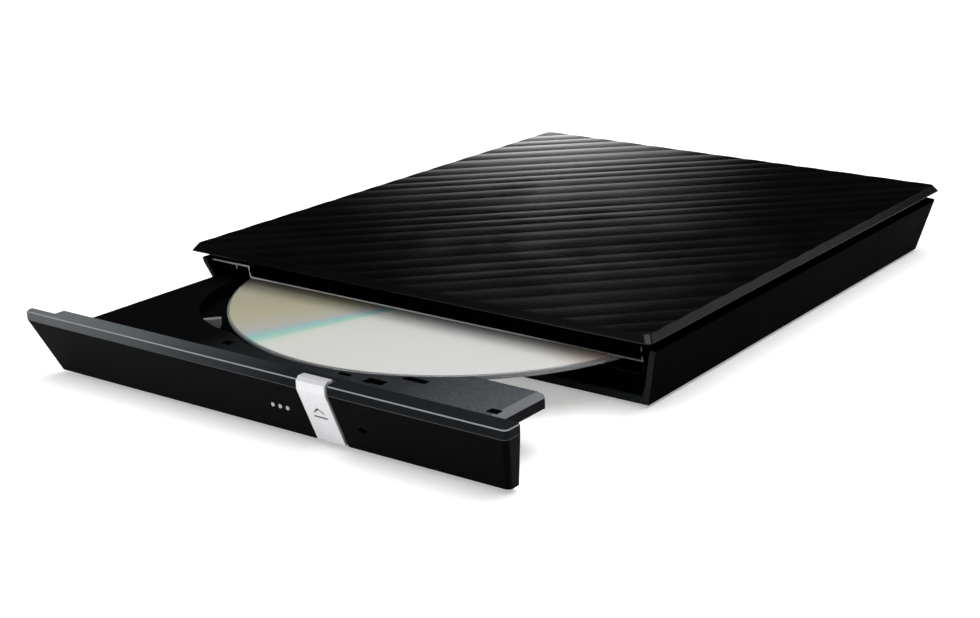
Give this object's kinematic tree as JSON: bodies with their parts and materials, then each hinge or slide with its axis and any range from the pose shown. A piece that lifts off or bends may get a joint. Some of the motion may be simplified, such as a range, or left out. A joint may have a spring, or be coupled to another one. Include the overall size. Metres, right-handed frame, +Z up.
{
  "type": "external dvd drive",
  "caption": "Slim external disc drive: ridged gloss lid over a tapered black case, with a half-open sliding tray holding a disc on its hub and a silver eject button in the bezel.",
  "frame": {"origin": "centre of the footprint with the tray half out, on the surface that the feet stand on", "axes": "+Z up, -Y towards the tray's bezel, +X to the right seen from the front, the side with the eject button"},
  "size_m": [0.1408, 0.2114, 0.0202],
  "materials": {
    "gloss_black_plastic": "high-gloss piano black",
    "black_plastic": "satin black ABS",
    "tray_plastic": "fine-grained dark grey",
    "bezel_plastic": "semi-gloss black",
    "silver_plastic": "silver paint",
    "rubber": "moulded rubber",
    "steel_screw": "black-zinc steel",
    "sheet_steel": "galvanised sheet steel",
    "steel": "ground steel",
    "circuit_board": "green solder mask",
    "chip_plastic": "moulded epoxy",
    "connector_plastic": "black nylon",
    "can_aluminium": "aluminium can",
    "clear_plastic": "clear acrylic",
    "white_nylon": "white acetal",
    "black_nylon": "black acetal",
    "cast_alloy": "die-cast alloy",
    "copper_winding": "enamelled copper",
    "disc_plastic": "polycarbonate over a mirror layer",
    "lens_glass": "coated optical glass",
    "magnet": "nickel-plated magnet"
  },
  "bodies": {
    "case": {"top_cover": "gloss_black_plastic", "middle_frame": "black_plastic", "base_shell": "black_plastic", "front_left_foot": "rubber", "front_right_foot": "rubber", "rear_left_foot": "rubber", "rear_right_foot": "rubber", "case_screws": "steel_screw", "drive_screws": "steel_screw", "bridge_board": "circuit_board", "board_screws": "steel_screw", "usb_socket": "sheet_steel", "board_connector": "connector_plastic", "bridge_chips": "chip_plastic", "bridge_capacitors": "can_aluminium", "drive_chassis": "sheet_steel", "drive_cover": "sheet_steel", "cover_screws": "steel_screw", "drive_connector": "connector_plastic", "latch_post": "steel", "left_rail_guide": "black_nylon", "right_rail_guide": "black_nylon"},
    "left_slide": {"left_rail": "sheet_steel"},
    "right_slide": {"right_rail": "sheet_steel"},
    "tray": {"disc_tray": "tray_plastic", "tray_cover": "sheet_steel", "tray_bezel": "bezel_plastic", "lamp_pipes": "clear_plastic", "front_board": "circuit_board", "lamp_chips": "white_nylon", "eject_switch": "chip_plastic", "main_board": "circuit_board", "main_board_chips": "chip_plastic", "latch_pin": "steel", "latch_magnet": "magnet", "ejector_housing": "black_nylon", "ejector_spring": "steel", "traverse_frame": "sheet_steel", "dampers": "rubber", "damper_screws": "steel_screw", "motor_base": "sheet_steel", "stator": "copper_winding", "guide_rods": "steel", "stepper_motor": "sheet_steel"},
    "button": {"eject_button": "silver_plastic"},
    "spindle": {"rotor": "cast_alloy", "turntable_pad": "rubber", "disc_hub": "black_nylon", "disc": "disc_plastic"},
    "screw": {"lead_screw": "steel"},
    "sled": {"pickup_sled": "cast_alloy", "actuator_frame": "black_nylon", "actuator_magnets": "magnet", "laser_unit": "can_aluminium", "follower_arm": "white_nylon"},
    "lens": {"lens_holder": "black_nylon", "objective_lens": "lens_glass"},
    "latch": {"latch_lever": "white_nylon"},
    "plunger": {"ejector_plunger": "white_nylon"}
  },
  "joints": [
    {"name": "tray_slide", "type": "slide", "parent": "case", "child": "tray", "axis": [0, -1, 0], "range_m": [-0.0502, 0.0876]},
    {"name": "left_rail_slide", "type": "slide", "parent": "case", "child": "left_slide", "axis": [0, -1, 0], "range_m": [-0.0251, 0.0438]},
    {"name": "right_rail_slide", "type": "slide", "parent": "case", "child": "right_slide", "axis": [0, -1, 0], "range_m": [-0.0251, 0.0438]},
    {"name": "eject_button_press", "type": "slide", "parent": "tray", "child": "button", "axis": [0, 1, 0], "range_m": [0, 0.0007], "stiffness_N_per_m": 1200, "springref_m": -0.0003},
    {"name": "spindle_spin", "type": "hinge", "parent": "tray", "child": "spindle", "pos_m": [0.001, -0.02715, 0.0008], "axis": [0, 0, 1], "continuous": true},
    {"name": "sled_travel", "type": "slide", "parent": "tray", "child": "sled", "axis": [0, 1, 0], "range_m": [-0.016, 0.016]},
    {"name": "lead_screw_spin", "type": "hinge", "parent": "tray", "child": "screw", "pos_m": [0.0204, -0.06375, 0.0068], "axis": [0, 1, 0], "range_deg": [-1930, 1930]},
    {"name": "lens_focus", "type": "slide", "parent": "sled", "child": "lens", "axis": [0, 0, 1], "range_m": [-0.0004, 0.0004], "stiffness_N_per_m": 60},
    {"name": "latch_swing", "type": "hinge", "parent": "tray", "child": "latch", "pos_m": [-0.0376, 0.02075, 0.0008], "axis": [0, 0, 1], "range_deg": [0, 16]},
    {"name": "ejector_stroke", "type": "slide", "parent": "tray", "child": "plunger", "axis": [0, 1, 0], "range_m": [0, 0.008]}
  ],
  "couplings": [
    {"joint": "left_rail_slide", "follows": "tray_slide", "ratio": 0.5},
    {"joint": "right_rail_slide", "follows": "tray_slide", "ratio": 0.5},
    {"joint": "lead_screw_spin", "follows": "sled_travel", "rad_per_m": 2094.4}
  ]
}
